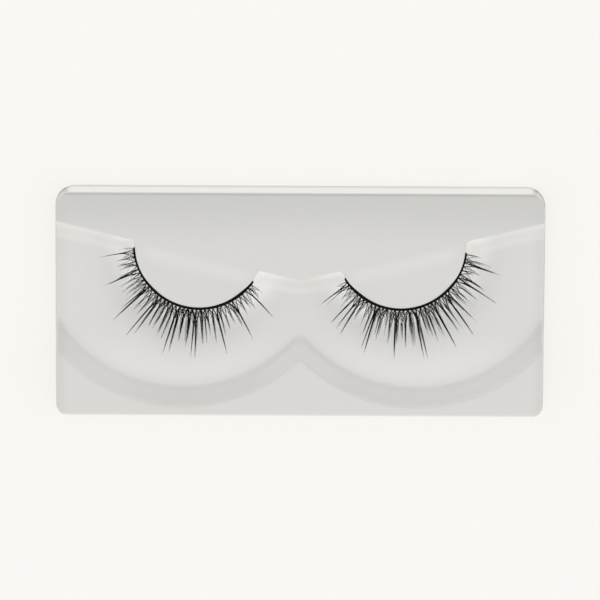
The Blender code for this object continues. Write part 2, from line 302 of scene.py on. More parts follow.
class HairSettings(bpy.types.PropertyGroup):
    """Sizes and colours of the hairs."""

    root_diameter: FloatProperty(
        name="Root diameter", description="Thickness of a hair at the band", default=0.00010, unit="LENGTH"
    )
    tip_share: FloatProperty(
        name="Tip share",
        description="Thickness of the tip as a share of the root",
        default=0.26,
        subtype="FACTOR",
    )
    knot_pitch: FloatProperty(
        name="Fan pitch",
        description="Distance between the knots that the fans spring from",
        default=0.00092,
        unit="LENGTH",
    )
    knot_spread: FloatProperty(
        name="Knot spread",
        description="Half width of the roots at one knot",
        default=0.00012,
        unit="LENGTH",
    )
    knot_throw: FloatProperty(
        name="Knot throw", description="How many knots away a clump gathers its hairs from", default=0.72
    )
    thickness: FloatProperty(
        name="Thickness", description="Share of the counted hairs that are grown", default=1.4
    )
    clump_width: FloatProperty(
        name="Clump width", description="Share of the given width of a clump", default=1.7
    )
    stray_hairs: IntProperty(name="Stray hairs", description="Loose hairs on each lash", default=30)
    colour: FloatVectorProperty(
        name="Colour", description="Colour of the hairs", default=(0.004, 0.004, 0.004), subtype="COLOR"
    )
    tip_colour: FloatVectorProperty(
        name="Tip colour",
        description="Colour of the hairs' tips",
        default=(0.014, 0.012, 0.011),
        subtype="COLOR",
    )


class StageSettings(bpy.types.PropertyGroup):
    """The floor, the light and the camera."""

    floor_size: FloatProperty(
        name="Floor size", description="Side of the floor", default=6.0, unit="LENGTH"
    )
    floor_gap: FloatProperty(
        name="Floor gap", description="How far the floor lies below the lip", default=0.00004, unit="LENGTH"
    )
    floor_colour: FloatVectorProperty(
        name="Floor colour",
        description="Colour of the floor",
        default=(0.450, 0.443, 0.430),
        subtype="COLOR",
    )
    floor_glow: FloatVectorProperty(
        name="Floor glow",
        description="Light that the floor gives off, as paper lit from below does",
        default=(0.582, 0.573, 0.553),
        subtype="COLOR",
    )
    sky_strength: FloatProperty(name="Sky strength", description="Strength of the even light", default=0.84)
    key_power: FloatProperty(
        name="Key power", description="Power of the light in front", default=6.2, unit="POWER"
    )
    rim_power: FloatProperty(
        name="Rim power", description="Power of the light behind", default=4.6, unit="POWER"
    )
    camera_distance: FloatProperty(
        name="Camera distance", description="From the camera to the tray", default=1.0, unit="LENGTH"
    )
    camera_tilt: FloatProperty(
        name="Camera tilt",
        description="Turn from straight down towards the brow side",
        default=math.radians(8.3),
        subtype="ANGLE",
    )
    camera_roll: FloatProperty(
        name="Camera roll", description="Turn of the picture", default=math.radians(0.28), subtype="ANGLE"
    )
    lens: FloatProperty(name="Lens", description="Focal length in millimetres", default=266.5)


class Value:
    """A socket of a node tree. Sums and products of numbers add the Math nodes for them."""

    def __init__(self, finish, socket):
        self.finish = finish
        self.socket = socket

    def _combine(self, operation, first, second):
        return self.finish.node("ShaderNodeMath", {"operation": operation}, {0: first, 1: second})

    def __add__(self, other):
        return self._combine("ADD", self, other)

    def __radd__(self, other):
        return self._combine("ADD", other, self)

    def __sub__(self, other):
        return self._combine("SUBTRACT", self, other)

    def __rsub__(self, other):
        return self._combine("SUBTRACT", other, self)

    def __mul__(self, other):
        return self._combine("MULTIPLY", self, other)

    def __rmul__(self, other):
        return self._combine("MULTIPLY", other, self)


class Finish:
    """A material under construction."""

    def __init__(self, name):
        self.material = bpy.data.materials.new(name)
        self.material.use_nodes = True
        self.tree = self.material.node_tree
        self.shader = self.tree.nodes["Principled BSDF"]

    def node(self, kind, settings=None, sockets=None, output=0):
        """A node of a kind, with its settings first and then the values or links of its sockets."""
        made = self.tree.nodes.new(kind)
        for name, setting in (settings or {}).items():
            setattr(made, name, setting)
        for name, value in (sockets or {}).items():
            self._plug(made.inputs[name], value)
        return Value(self, made.outputs[output])

    def _plug(self, socket, value):
        if isinstance(value, Value):
            self.tree.links.new(value.socket, socket)
        elif socket.type == "RGBA":
            socket.default_value = (*value, 1)
        else:
            socket.default_value = value

    def shade(self, sockets):
        """Sets or links sockets of the surface shader."""
        for name, value in sockets.items():
            self._plug(self.shader.inputs[name], value)

    def object_place(self, centre=(0, 0, 0), scale=(1, 1, 1)):
        """Object coordinates, centred on a place and stretched."""
        place = self.node("ShaderNodeTexCoord", output="Object")
        moved = self.node("ShaderNodeVectorMath", {"operation": "SUBTRACT"}, {0: place, 1: centre})
        return self.node("ShaderNodeVectorMath", {"operation": "MULTIPLY"}, {0: moved, 1: scale})

    def axis(self, place, name):
        return self.node("ShaderNodeSeparateXYZ", sockets={"Vector": place}, output=name)

    def noise(self, place, per_metre, detail=2.0, roughness=0.5):
        sockets = {"Vector": place, "Scale": per_metre, "Detail": detail, "Roughness": roughness}
        return self.node("ShaderNodeTexNoise", sockets=sockets)

    def between(self, value, low, high):
        """How far a value has come from low to high, from 0 to 1 and eased."""
        settings = {"interpolation_type": "SMOOTHSTEP"}
        sockets = {"Value": value, "From Min": low, "From Max": high}
        return self.node("ShaderNodeMapRange", settings, sockets)

    def blend(self, share, first, second):
        """A colour between two."""
        made = self.node("ShaderNodeMix", {"data_type": "RGBA"}).socket.node
        self._plug(made.inputs["Factor"], share)
        colours = [s for s in made.inputs if s.type == "RGBA"]
        self._plug(colours[0], first)
        self._plug(colours[1], second)
        return Value(self, next(s for s in made.outputs if s.type == "RGBA"))

    def tinted(self, colour, share):
        """A colour made lighter or darker by a share."""
        return self.node("ShaderNodeVectorMath", {"operation": "SCALE"}, {0: colour, "Scale": share})

    def bump(self, height, distance):
        sockets = {"Height": height, "Distance": distance, "Strength": 1.0}
        return self.node("ShaderNodeBump", sockets=sockets)


def finished(name, mesh, finish, slot, *nodes):
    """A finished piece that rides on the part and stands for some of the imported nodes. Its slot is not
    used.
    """
    piece = bpy.data.objects.new(name, mesh)
    bpy.context.scene.collection.objects.link(piece)
    mesh.materials.clear()
    mesh.materials.append(finish.material)
    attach(piece, "root")
    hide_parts(*nodes)
    return piece


# The tray's surface


def brow_line(x):
    return APEX_Y + BROW_SLOPE * math.hypot(x, BROW_NOSE)


def cheek_line(x, radius, nose):
    across = math.hypot(x, nose) - CHEEK_X
    return CHEEK_Y - math.sqrt(radius * radius - across * across)


def lid_crossing(side):
    """X where the lid's circle crosses the straight brow line: the inner crossing is -1, the outer +1."""
    a = 1 + BROW_SLOPE**2
    b = -LID_X - BROW_SLOPE * LID_SET_BACK
    c = LID_X**2 + LID_SET_BACK**2 - SEAT_RADIUS**2
    return (-b + side * math.sqrt(b * b - a * c)) / a


def from_wall(x, y):
    """Distance in front of the wall that the brow line and the lid make, rounded in their corner."""
    brow = (brow_line(x) - y) / math.hypot(1, BROW_SLOPE)
    lid = math.hypot(x - LID_X, y - LID_Y) - SEAT_RADIUS
    blend = max(CORNER_SOFT - abs(brow - lid), 0.0) / CORNER_SOFT
    return min(brow, lid) - blend * blend * CORNER_SOFT / 4


def wall_normal(place):
    """Direction straight out of the wall at a place near it."""
    step = CORNER_SOFT / 100
    across = from_wall(place.x + step, place.y) - from_wall(place.x - step, place.y)
    along = from_wall(place.x, place.y + step) - from_wall(place.x, place.y - step)
    return Vector((across, along)).normalized()


def onto_wall(place):
    """The place moved straight onto the wall's line."""
    for _ in range(WALL_TRIES):
        place = place - wall_normal(place) * from_wall(*place)
    return place


def plateau(x, y, crease_width):
    """Height of the brow and the lids without their rounded edge."""
    line = brow_line(x)
    back = max(y - line, 0.0) / (HALF_DEPTH - line)
    inner, outer = lid_crossing(-1), lid_crossing(1)
    fade = smooth((x - inner) / COVE_RUN) * smooth((outer - x) / COVE_RUN)
    crease = smooth((line - y) / crease_width)
    return BROW_HEIGHT - BROW_FALL * back * back - LID_STEP * fade * crease


def ground(x, y, tray):
    """Height of everything behind the sloping wall: plateau, rounded edge, cove and valley floor."""
    ahead = from_wall(x, y)
    high = plateau(x, y, tray.crease_width)
    radius = tray.top_round
    if ahead <= 0:
        over = clamp(ahead + radius, 0.0, radius)
        return high - radius + math.sqrt(radius * radius - over * over)
    rest = 1 - clamp(ahead / COVE_RUN)
    cove = 1 - math.sqrt(max(1 - rest * rest, 0.0))
    return mix(FLOOR_HEIGHT, high - radius, cove)


def tray_stations():
    """From the middle to the side: X on the back edge, the wall's top point, and X on the cheeks."""
    inner, outer = lid_crossing(-1), lid_crossing(1)
    last = mix(EDGE_X, outer, SIDE_FAN)
    made = []
    for i in range(NOSE_STEPS):
        x = inner * i / NOSE_STEPS
        made.append((x, Vector((x, brow_line(x))), x))
    start = math.atan2(brow_line(inner) - LID_Y, inner - LID_X)
    end = math.atan2(brow_line(outer) - LID_Y, outer - LID_X)
    for i in range(LID_STEPS + 1):
        share = i / LID_STEPS
        angle = mix(start, end, share)
        wall = Vector((LID_X + SEAT_RADIUS * math.cos(angle), LID_Y + SEAT_RADIUS * math.sin(angle)))
        made.append((mix(inner, outer, share), onto_wall(wall), mix(inner, last, share)))
    for i in range(SIDE_STEPS):
        share = 1 - (1 - (i + 1) / SIDE_STEPS) ** SIDE_CROWDING
        x = mix(outer, EDGE_X, share)
        made.append((x, onto_wall(Vector((x, brow_line(x)))), mix(last, EDGE_X, share)))
    return made


def tray_column(back_x, wall, cheek_x, tray):
    """One line of the tray's top surface, from its back edge to its front edge."""
    crease = Vector((back_x, brow_line(back_x) + CORNER_SOFT / 2))
    foot = Vector((cheek_x, cheek_line(cheek_x, FOOT_RADIUS, FOOT_NOSE)))
    crest = Vector((cheek_x, cheek_line(cheek_x, FOOT_RADIUS + SLOPE_RUN, CREST_NOSE)))
    valley_end = mix(foot, crest, -FOOT_BLEND)
    land_start = mix(foot, crest, 1 + CREST_BLEND)

    back_way = crease - wall
    steepness = max(back_way.normalized().dot(-wall_normal(wall)), LEAST_SLANT)
    edge_way = min(tray.top_round / steepness, back_way.length * EDGE_SHARE)
    edge_start = wall + back_way.normalized() * edge_way
    front_way = valley_end - wall
    openness = max(front_way.normalized().dot(wall_normal(wall)), LEAST_SLANT)
    cove_way = min(COVE_RUN / openness, front_way.length * COVE_SHARE)
    toe = wall + front_way.normalized() * cove_way

    places = [Vector((back_x, mix(EDGE_Y, crease.y, i / BROW_ROWS))) for i in range(BROW_ROWS)]
    places += [mix(crease, edge_start, (i / LID_ROWS) ** LID_CROWDING) for i in range(LID_ROWS)]
    places += [mix(edge_start, wall, math.sin(i / EDGE_ROWS * math.pi / 2)) for i in range(EDGE_ROWS)]
    places += [mix(wall, toe, 1 - math.cos(i / COVE_ROWS * math.pi / 2)) for i in range(COVE_ROWS)]
    places += [mix(toe, valley_end, i / FLOOR_ROWS) for i in range(FLOOR_ROWS)]
    points = [(*place, ground(*place, tray)) for place in places]
    for i in range(SLOPE_ROWS):
        run = mix(-FOOT_BLEND, 1 + CREST_BLEND, i / SLOPE_ROWS)
        rise = ramp_corner(run, FOOT_BLEND) - ramp_corner(run - 1, CREST_BLEND)
        points.append((*mix(foot, crest, run), mix(FLOOR_HEIGHT, LAND_HEIGHT, rise)))
    for i in range(LAND_ROWS + 1):
        points.append((crest.x, mix(land_start.y, -EDGE_Y, i / LAND_ROWS), LAND_HEIGHT))
    return points


def corner_radius(y):
    return (BACK_CORNER if y > 0 else FRONT_CORNER) - EDGE_ROUND


def into_corner(x, y):
    """Pulls a point of the square-cornered plan into the round-cornered one."""
    radius = corner_radius(y)
    across = (x - (EDGE_X - radius)) / radius
    along = (abs(y) - (EDGE_Y - radius)) / radius
    if across <= 0 or along <= 0:
        return x, y
    round_x = EDGE_X - radius + radius * across * math.sqrt(1 - along * along / 2)
    round_y = EDGE_Y - radius + radius * along * math.sqrt(1 - across * across / 2)
    return round_x, math.copysign(round_y, y)


def outward(x, y):
    """The plan's outward direction at a point on its edge."""
    radius = corner_radius(y)
    across = max(x - (EDGE_X - radius), 0.0)
    along = max(abs(y) - (EDGE_Y - radius), 0.0)
    return Vector((across, math.copysign(along, y))).normalized()


def add_skirt(bm):
    """Draws the rim out into the rounded edge, the skirt and the foot lip."""
    rim = [e for e in bm.edges if e.is_boundary and max(v.co.x for v in e.verts) > MERGE_DISTANCE]
    start = {v: (v.co.copy(), outward(v.co.x, v.co.y)) for e in rim for v in e.verts}
    rings = []
    for i in range(ROUND_ROWS):
        bend = math.pi / 2 * (i + 1) / ROUND_ROWS
        out, down = EDGE_ROUND * math.sin(bend), EDGE_ROUND * (1 - math.cos(bend))
        rings.append({"out": out, "down": down, "low": 0.0})
    for i in range(SKIRT_ROWS):
        rings.append({"out": EDGE_ROUND, "down": EDGE_ROUND, "low": (i + 1) / SKIRT_ROWS})
    rings.append({"out": EDGE_ROUND + LIP_WIDTH, "down": EDGE_ROUND, "low": 1.0})
    for ring in rings:
        made = bmesh.ops.extrude_edge_only(bm, edges=rim)["geom"]
        rim = [g for g in made if isinstance(g, bmesh.types.BMEdge)]
        grown = {}
        for vert in [g for g in made if isinstance(g, bmesh.types.BMVert)]:
            neighbours = (edge.other_vert(vert) for edge in vert.link_edges)
            place, away = next(start[other] for other in neighbours if other in start)
            height = mix(place.z - ring["down"], SHEET, ring["low"])
            push = ring["out"] + math.tan(SKIRT_DRAFT) * (BROW_HEIGHT - height)
            vert.co = (*(place.xy + away * push), height)
            grown[vert] = (place, away)
        start = grown


def tray_mesh(tray):
    """Half of the top surface with its edge, skirt and lip."""
    columns = [tray_column(*station, tray) for station in tray_stations()]
    across, along = len(columns) - 1, len(columns[0]) - 1
    bm = bmesh.new()
    bmesh.ops.create_grid(bm, x_segments=across, y_segments=along, size=1)
    for vert in bm.verts:
        i = round((vert.co.x + 1) / 2 * across)
        j = round((1 - vert.co.y) / 2 * along)
        x, y, z = columns[i][j]
        vert.co = (*into_corner(x, y), z)
    add_skirt(bm)
    bmesh.ops.remove_doubles(bm, verts=bm.verts, dist=MERGE_DISTANCE)
    bmesh.ops.recalc_face_normals(bm, faces=bm.faces)
    if max(bm.faces, key=lambda face: face.calc_area()).normal.z < 0:
        bmesh.ops.reverse_faces(bm, faces=bm.faces)
    mesh = bpy.data.meshes.new("tray_shell")
    bm.to_mesh(mesh)
    bm.free()
    mesh.shade_smooth()
    return mesh


# The places where light and shade are painted on the sheet. Each comes in from the first place or height of
# its pair to the second.
BACK_SHADE_STRIP = (HALF_DEPTH - 0.0140, HALF_DEPTH)
END_SHADE_STRIP = (HALF_LENGTH - 0.0032, HALF_LENGTH - 0.0004)
BELOW_BROW = (BROW_HEIGHT - 0.0007, BROW_HEIGHT - 0.0020)
PAST_BROW = (-0.0004, 0.0004)
BELOW_LAND = (LAND_HEIGHT - 0.00004, LAND_HEIGHT - 0.0006)
SLOPE_SIDE = (-0.003, -0.007)
FRONT_SIDE = (-0.004, -0.019)
UP_SLOPE = (FLOOR_HEIGHT, FLOOR_HEIGHT + 0.0020)
SLOPE_TOP = (FLOOR_HEIGHT + 0.0015, LAND_HEIGHT - 0.0005)
TO_MIDDLE = (0.012, 0.001)
OFF_SKIRT = (HALF_DEPTH + 0.0001, EDGE_Y)
TO_LASH = (SEAT_RADIUS + 0.0080, SEAT_RADIUS + 0.0012)
TO_BROW = (0.0055, 0.0020)
UP_COVE = (FLOOR_HEIGHT, FLOOR_HEIGHT + 0.0025)
COVE_SIDE = (0.001, 0.004)
ONTO_FOLD = (EDGE_Y - 0.0004, EDGE_Y - 0.0001)
OFF_FOLD = (EDGE_Y + 0.0004, EDGE_Y)

# How far the valley takes the paler colour of painted light, what some places there add (the slope's crest
# takes some away, as painted shade), and how far the skirt takes it as painted light
PAINTED_LIGHT_VALLEY = 0.19
PAINTED_LIGHT_PLACES = {"front": 0.48, "slope": 0.10, "nose": 0.34, "crest": -0.22}
PAINTED_LIGHT_SKIRT = 0.6

# How strongly the sheet is painted to glow round the lashes, standing in for light where the hairs shade
# it, how much of that glow is taken off by the brow's wall, and how strongly it is painted to glow in the
# cove between the lids, where the walls shade it
GLOW_BY_LASH = 0.21
GLOW_LOST_BY_BROW = 0.09
GLOW_IN_COVE = 0.07


def tray_shades(finish, place):
    """Masks from 0 to 1 for the places on the tray where light and shade are painted into its colour."""
    height = finish.axis(place, "Z")
    depth = finish.axis(place, "Y")
    side = finish.node("ShaderNodeMath", {"operation": "ABSOLUTE"}, {0: finish.axis(place, "X")})
    ahead = APEX_Y + BROW_SLOPE * side - depth
    low_back = finish.between(height, *BELOW_BROW) * finish.between(ahead, *PAST_BROW)
    low_front = finish.between(height, *BELOW_LAND) * finish.between(depth, *SLOPE_SIDE)
    inside = finish.between(side, HALF_LENGTH, EDGE_X) * finish.between(depth, -HALF_DEPTH, -EDGE_Y)
    low = finish.node("ShaderNodeMath", {"operation": "MAXIMUM"}, {0: low_back, 1: low_front}) * inside
    slope = finish.between(height, *UP_SLOPE) * finish.between(depth, *SLOPE_SIDE)
    off_lid = finish.node("ShaderNodeCombineXYZ", sockets={"X": side - LID_X, "Y": depth - LID_Y})
    reach = finish.node("ShaderNodeVectorMath", {"operation": "LENGTH"}, {0: off_lid}, output="Value")
    return {
        "back": finish.between(depth, *BACK_SHADE_STRIP),
        "ends": finish.between(side, *END_SHADE_STRIP),
        "low": low,
        "front": finish.between(depth, *FRONT_SIDE),
        "slope": slope,
        "nose": finish.between(side, *TO_MIDDLE) * slope,
        "crest": finish.between(height, *SLOPE_TOP) * slope,
        "skirt": 1 - inside * finish.between(depth, *OFF_SKIRT),
        "near_lash": low * finish.between(reach, *TO_LASH),
        "by_brow": finish.between(ahead, *TO_BROW),
        "cove": low * finish.between(height, *UP_COVE) * finish.between(depth, *COVE_SIDE),
        "fold": finish.between(depth, *ONTO_FOLD) * finish.between(depth, *OFF_FOLD),
    }


def tray_finish(tray):
    """Satin white sheet, faintly mottled, with fine forming lines, and with light and shade painted in:
    paler in the valley and on the skirt, darker along the back, the ends and the back fold, and glowing
    round the lashes and in the cove.
    """
    finish = Finish("satin_sheet")
    place = finish.object_place()
    cloud = finish.noise(place, 45.0, detail=3.0)
    grain = finish.noise(place, 2600.0, detail=2.0)
    lines = finish.noise(finish.object_place(scale=(0.25, 1.0, 0.25)), 900.0, detail=3.0)
    shades = tray_shades(finish, place)
    low = shades["low"]
    # Painted light: the valley, the slope's nose and the front are made paler to look brighter lit, the
    # crest is held darker as painted shade, and the skirt is made paler as painted light
    painted_light_share = PAINTED_LIGHT_VALLEY
    for name, share in PAINTED_LIGHT_PLACES.items():
        painted_light_share = painted_light_share + shades[name] * share
    painted_light_share = low * painted_light_share + shades["skirt"] * PAINTED_LIGHT_SKIRT
    sheet = finish.blend(painted_light_share, tray.colour, tray.painted_light_colour)
    # Painted shade: the sheet is darkened along the back and towards the ends
    sheet = finish.blend(shades["back"] * (1 - low) * (1 - shades["skirt"]), sheet, tray.painted_shade_colour)
    sheet = finish.blend(shades["ends"] * 0.5 * (1 - low * 0.4), sheet, tray.painted_shade_colour)
    # Painted shade: a dark line along the rounded back edge
    sheet = finish.blend(shades["fold"], sheet, tray.fold_shade_colour)
    mottle = 1 + (cloud - 0.5) * 0.04
    # Painted light: a glow round the lashes and in the cove lifts the shade that the hairs and the walls
    # cast
    glow = shades["near_lash"] * (GLOW_BY_LASH - shades["by_brow"] * GLOW_LOST_BY_BROW)
    glow = glow + shades["cove"] * GLOW_IN_COVE
    finish.shade(
        {
            "Base Color": finish.tinted(sheet, mottle),
            "Roughness": tray.roughness + (cloud - 0.5) * 0.12 + (lines - 0.5) * 0.06,
            "Normal": finish.bump(grain * 0.6 + lines * 0.4, 0.00001),
            "Specular IOR Level": 0.5,
            "Emission Color": finish.tinted(tray.painted_glow_colour, glow),
            "Emission Strength": 1.0,
        }
    )
    return finish


class LASHES_OT_tray(bpy.types.Operator):
    """Mould the tray: brow, lids, valley, sloping wall, land, skirt and lip"""

    bl_idname = "lashes.tray"
    bl_label = "Display Tray"

    def execute(self, context):
        tray = context.scene.lash_tray
        piece = finished("tray_shell", tray_mesh(tray), tray_finish(tray), "tray", "tray")
        mirror = piece.modifiers.new("Mirror", "MIRROR")
        mirror.use_clip = True
        mirror.merge_threshold = MERGE_DISTANCE
        sheet = piece.modifiers.new("Sheet", "SOLIDIFY")
        sheet.thickness = SHEET
        sheet.offset = -1
        sheet.use_even_offset = True
        sheet.use_quality_normals = True
        return {"FINISHED"}


# The bands


def band_start(lash):
    return BAND_MIDDLE + BAND_SPAN / 2 + lash["slide"]


def on_lid(angle, radius, height, side):
    """A place at an angle and radius about a lid's centre."""
    return Vector((side * (LID_X + radius * math.cos(angle)), LID_Y + radius * math.sin(angle), height))


BAND_STEPS = 288
BAND_SIDES = 14

# Over what length an end is rounded off and how far, the girth of the band's thin middle, and what each
# end adds to it past a share of the length
END_ROUND = 0.0005
END_TAPER = 0.85
MIDDLE_GIRTH = 0.84
OUTER_GIRTH = 0.24
OUTER_SHARE = 0.42
INNER_GIRTH = 0.26
INNER_SHARE = 0.62
GIRTH_FADE = 0.3


def band_mesh(name, lash, band):
    """A round section turned about the lid, swollen at each knot and rounded off at its ends."""
    bm = bmesh.new()
    start = band_start(lash)
    turn = Matrix.Rotation(start, 4, "Z") @ Matrix.Rotation(math.pi / 2, 4, "X")
    middle = Matrix.Translation(on_lid(start, BAND_RADIUS, BAND_Z, 1))
    bmesh.ops.create_circle(bm, segments=BAND_SIDES, radius=BAND_THICKNESS / 2, matrix=middle @ turn)
    hub = Vector((LID_X, LID_Y, 0))
    bmesh.ops.spin(
        bm, geom=bm.verts[:] + bm.edges[:], cent=hub, axis=(0, 0, 1), angle=-BAND_SPAN, steps=BAND_STEPS
    )
    bmesh.ops.remove_doubles(bm, verts=bm.verts, dist=MERGE_DISTANCE)
    bmesh.ops.holes_fill(bm, edges=[e for e in bm.edges if e.is_boundary])
    length = BAND_SPAN * BAND_RADIUS
    for vert in bm.verts:
        angle = math.atan2(vert.co.y - LID_Y, vert.co.x - LID_X)
        along = (start - angle) * BAND_RADIUS
        core = on_lid(angle, BAND_RADIUS, BAND_Z, 1)
        around = math.atan2(vert.co.z - core.z, (vert.co - core).xy.dot(core.xy - hub.xy))
        knot = math.cos(2 * math.pi * along / band.knot_pitch + around)
        to_end = clamp(min(along, length - along) / END_ROUND)
        share = along / length
        outer = OUTER_GIRTH * smooth((OUTER_SHARE - share) / GIRTH_FADE)
        inner = INNER_GIRTH * smooth((share - INNER_SHARE) / GIRTH_FADE)
        girth = MIDDLE_GIRTH + outer + inner
        girth *= math.sqrt(1 - (1 - to_end) ** 2 * END_TAPER) * (1 + band.knot_swell * knot)
        vert.co = core + (vert.co - core) * girth
    if lash["side"] < 0:
        bmesh.ops.scale(bm, verts=bm.verts, vec=(-1, 1, 1))
    bmesh.ops.recalc_face_normals(bm, faces=bm.faces)
    mesh = bpy.data.meshes.new(name)
    bm.to_mesh(mesh)
    bm.free()
    mesh.shade_smooth()
    return mesh


def band_finish(band):
    """Matt black cotton: fine fibres across the cord and a dusty bloom."""
    finish = Finish("black_cotton")
    place = finish.object_place()
    fibres = finish.noise(place, 9000.0, detail=3.0, roughness=0.7)
    bloom = finish.noise(place, 1400.0, detail=2.0)
    dust = finish.between(fibres * bloom, 0.15, 0.42)
    finish.shade(
        {
            "Base Color": finish.blend(dust, band.colour, band.worn_colour),
            "Roughness": 0.62 + (fibres - 0.5) * 0.3,
            "Normal": finish.bump(fibres, 0.00002),
            "Specular IOR Level": 0.06,
        }
    )
    return finish


class LASHES_OT_bands(bpy.types.Operator):
    """Make both bands as knotted cords bent round the lids"""

    bl_idname = "lashes.bands"
    bl_label = "Bands"

    def execute(self, context):
        band = context.scene.lash_band
        finish = band_finish(band)
        for name, lash in LASHES.items():
            mesh = band_mesh(name + "_band_cord", lash, band)
            finished(name + "_band_cord", mesh, finish, "band", name + "_band")
        return {"FINISHED"}


# The hairs

HAIR_POINTS = 9

# How far in front of the band's middle the hairs start, as a share of its thickness, and how a hair eases
# into its clump
ROOT_SHARE = 0.2
GATHER_EASE = 1.7

# How the hairs of a clump differ, with the least and the most of each or its spread, how a clump narrows
# and how the lash thins out towards its ends
CLUMP_FAR = (0.62, 1.03)
CLUMP_GATHER = (0.0022, 0.0048)
CLUMP_LIFT = 0.00022
CLUMP_GIRTH = (0.75, 1.1)
CLUMP_NARROW = 0.3
END_FULLNESS = 0.86
END_START = 0.15
END_FADE = 0.2

# The same for the stray hairs. Their reach grows from the lash's ends towards its middle, and their tips
# stand some degrees aslant.
STRAY_REACH = (0.0026, 0.0062)
STRAY_GROWTH = 0.4
STRAY_FAR = (0.7, 1.15)
STRAY_TURN = 5
STRAY_LANE = 0.0001
STRAY_LIFT = 0.0003
STRAY_GIRTH = (0.6, 0.9)


def hair_height(share, lift):
    return BAND_Z + HAIR_LIFT * share * share - HAIR_DROOP * 4 * share * (1 - share) + lift * share


def plan_place(degrees, radius):
    angle = math.radians(degrees)
    return Vector((LID_X + radius * math.cos(angle), LID_Y + radius * math.sin(angle)))


def add_hair(curve, lash, hair):
    """One tapered hair. It leaves its knot aslant, joins its clump at the gathering distance and then runs
    along in its own lane, which narrows towards the clump's tip."""
    axis = hair["tip"] - hair["foot"]
    length = axis.length * hair["far"]
    ahead = axis.normalized()
    beside = Vector((-ahead.y, ahead.x))
    start = (hair["root"] - hair["foot"]).dot(beside)
    spline = curve.splines.new("POLY")
    spline.points.add(HAIR_POINTS - 1)
    for i, point in enumerate(spline.points):
        share = i / (HAIR_POINTS - 1)
        run = length * share
        lane = hair["lane"] * mix(1.0, hair["narrow"], share * hair["far"])
        apart = (1 - clamp(run / hair["gather"])) ** GATHER_EASE
        offset = mix(lane, start, apart)
        plan = hair["foot"] + ahead * run + beside * offset
        point.co = (lash["side"] * plan.x, plan.y, hair_height(share * hair["far"], hair["lift"]), 1)
        point.radius = hair["girth"] * mix(1.0, hair["fine"], share**2)


def hair_mesh(name, lash, hairs):
    """All hairs of one lash, as tapered tubes that spring from the knots and gather into the clumps."""
    chance = random.Random(lash["seed"])
    curve = bpy.data.curves.new(name, "CURVE")
    curve.dimensions = "3D"
    curve.bevel_depth = hairs.root_diameter / 2
    curve.bevel_resolution = 0
    curve.use_fill_caps = True
    start = math.degrees(band_start(lash))
    span = math.degrees(BAND_SPAN)
    pitch = math.degrees(hairs.knot_pitch / BAND_RADIUS)
    spread = math.degrees(hairs.knot_spread / BAND_RADIUS)
    root_radius = BAND_RADIUS + BAND_THICKNESS * ROOT_SHARE
    knots = [start - pitch * (i + 0.5) for i in range(int(span / pitch))]

    for root_angle, tip_angle, reach, width, count in lash["clumps"]:
        foot = plan_place(root_angle, root_radius)
        tip = plan_place(tip_angle, BAND_RADIUS + BAND_THICKNESS / 2 + reach / 1000)
        off_middle = abs((start - root_angle) / span - 0.5)
        fullness = mix(1.0, END_FULLNESS, smooth((off_middle - END_START) / END_FADE))
        for _ in range(round(count * hairs.thickness * fullness)):
            away = chance.gauss(0, hairs.knot_throw) * pitch
            knot = min(knots, key=lambda angle: abs(angle - root_angle - away))
            root = plan_place(knot + chance.uniform(-spread, spread), root_radius)
            hair = {
                "foot": foot,
                "tip": tip,
                "root": root,
                "far": chance.uniform(*CLUMP_FAR),
                "lane": chance.gauss(0, hairs.clump_width * width / 1000),
                "narrow": CLUMP_NARROW,
                "gather": chance.uniform(*CLUMP_GATHER),
                "lift": chance.gauss(0, CLUMP_LIFT),
                "girth": chance.uniform(*CLUMP_GIRTH),
                "fine": hairs.tip_share,
            }
            add_hair(curve, lash, hair)

    for _ in range(hairs.stray_hairs):
        knot = chance.choice(knots)
        place = (start - knot) / span
        from_end = smooth(min(place, 1 - place) / STRAY_GROWTH)
        reach = mix(*STRAY_REACH, from_end) * chance.uniform(*STRAY_FAR)
        root = plan_place(knot + chance.uniform(-spread, spread), root_radius)
        hair = {
            "foot": root,
            "tip": plan_place(knot + chance.gauss(0, STRAY_TURN), BAND_RADIUS + reach),
            "root": root,
            "far": 1.0,
            "lane": chance.gauss(0, STRAY_LANE),
            "narrow": 1.0,
            "gather": reach,
            "lift": chance.gauss(0, STRAY_LIFT),
            "girth": chance.uniform(*STRAY_GIRTH),
            "fine": hairs.tip_share,
        }
        add_hair(curve, lash, hair)

    bundle = bpy.data.objects.new(name, curve)
    bpy.context.scene.collection.objects.link(bundle)
    depsgraph = bpy.context.evaluated_depsgraph_get()
    mesh = bpy.data.meshes.new_from_object(bundle.evaluated_get(depsgraph))
    bpy.data.objects.remove(bundle)
    bpy.data.curves.remove(curve)
    mesh.name = name
    mesh.shade_smooth()
    return mesh


def hair_finish(name, lash, hairs):
    """Soft black fibre that turns a little brown and duller towards its tips."""
    finish = Finish(name + "_fibre")
    place = finish.object_place(centre=on_lid(0, 0, 0, lash["side"]), scale=(1, 1, 0))
    reach = finish.node("ShaderNodeVectorMath", {"operation": "LENGTH"}, {0: place}, output="Value")
    streak = finish.noise(finish.object_place(), 3200.0, detail=1.0)
    outer = finish.between(reach, BAND_RADIUS + 0.003, BAND_RADIUS + 0.011)
    finish.shade(
        {
            "Base Color": finish.blend(outer * 0.7 + streak * 0.3, hairs.colour, hairs.tip_colour),
            "Roughness": 0.38 + streak * 0.2 + outer * 0.1,
            "Specular IOR Level": 0.10,
        }
    )
    return finish


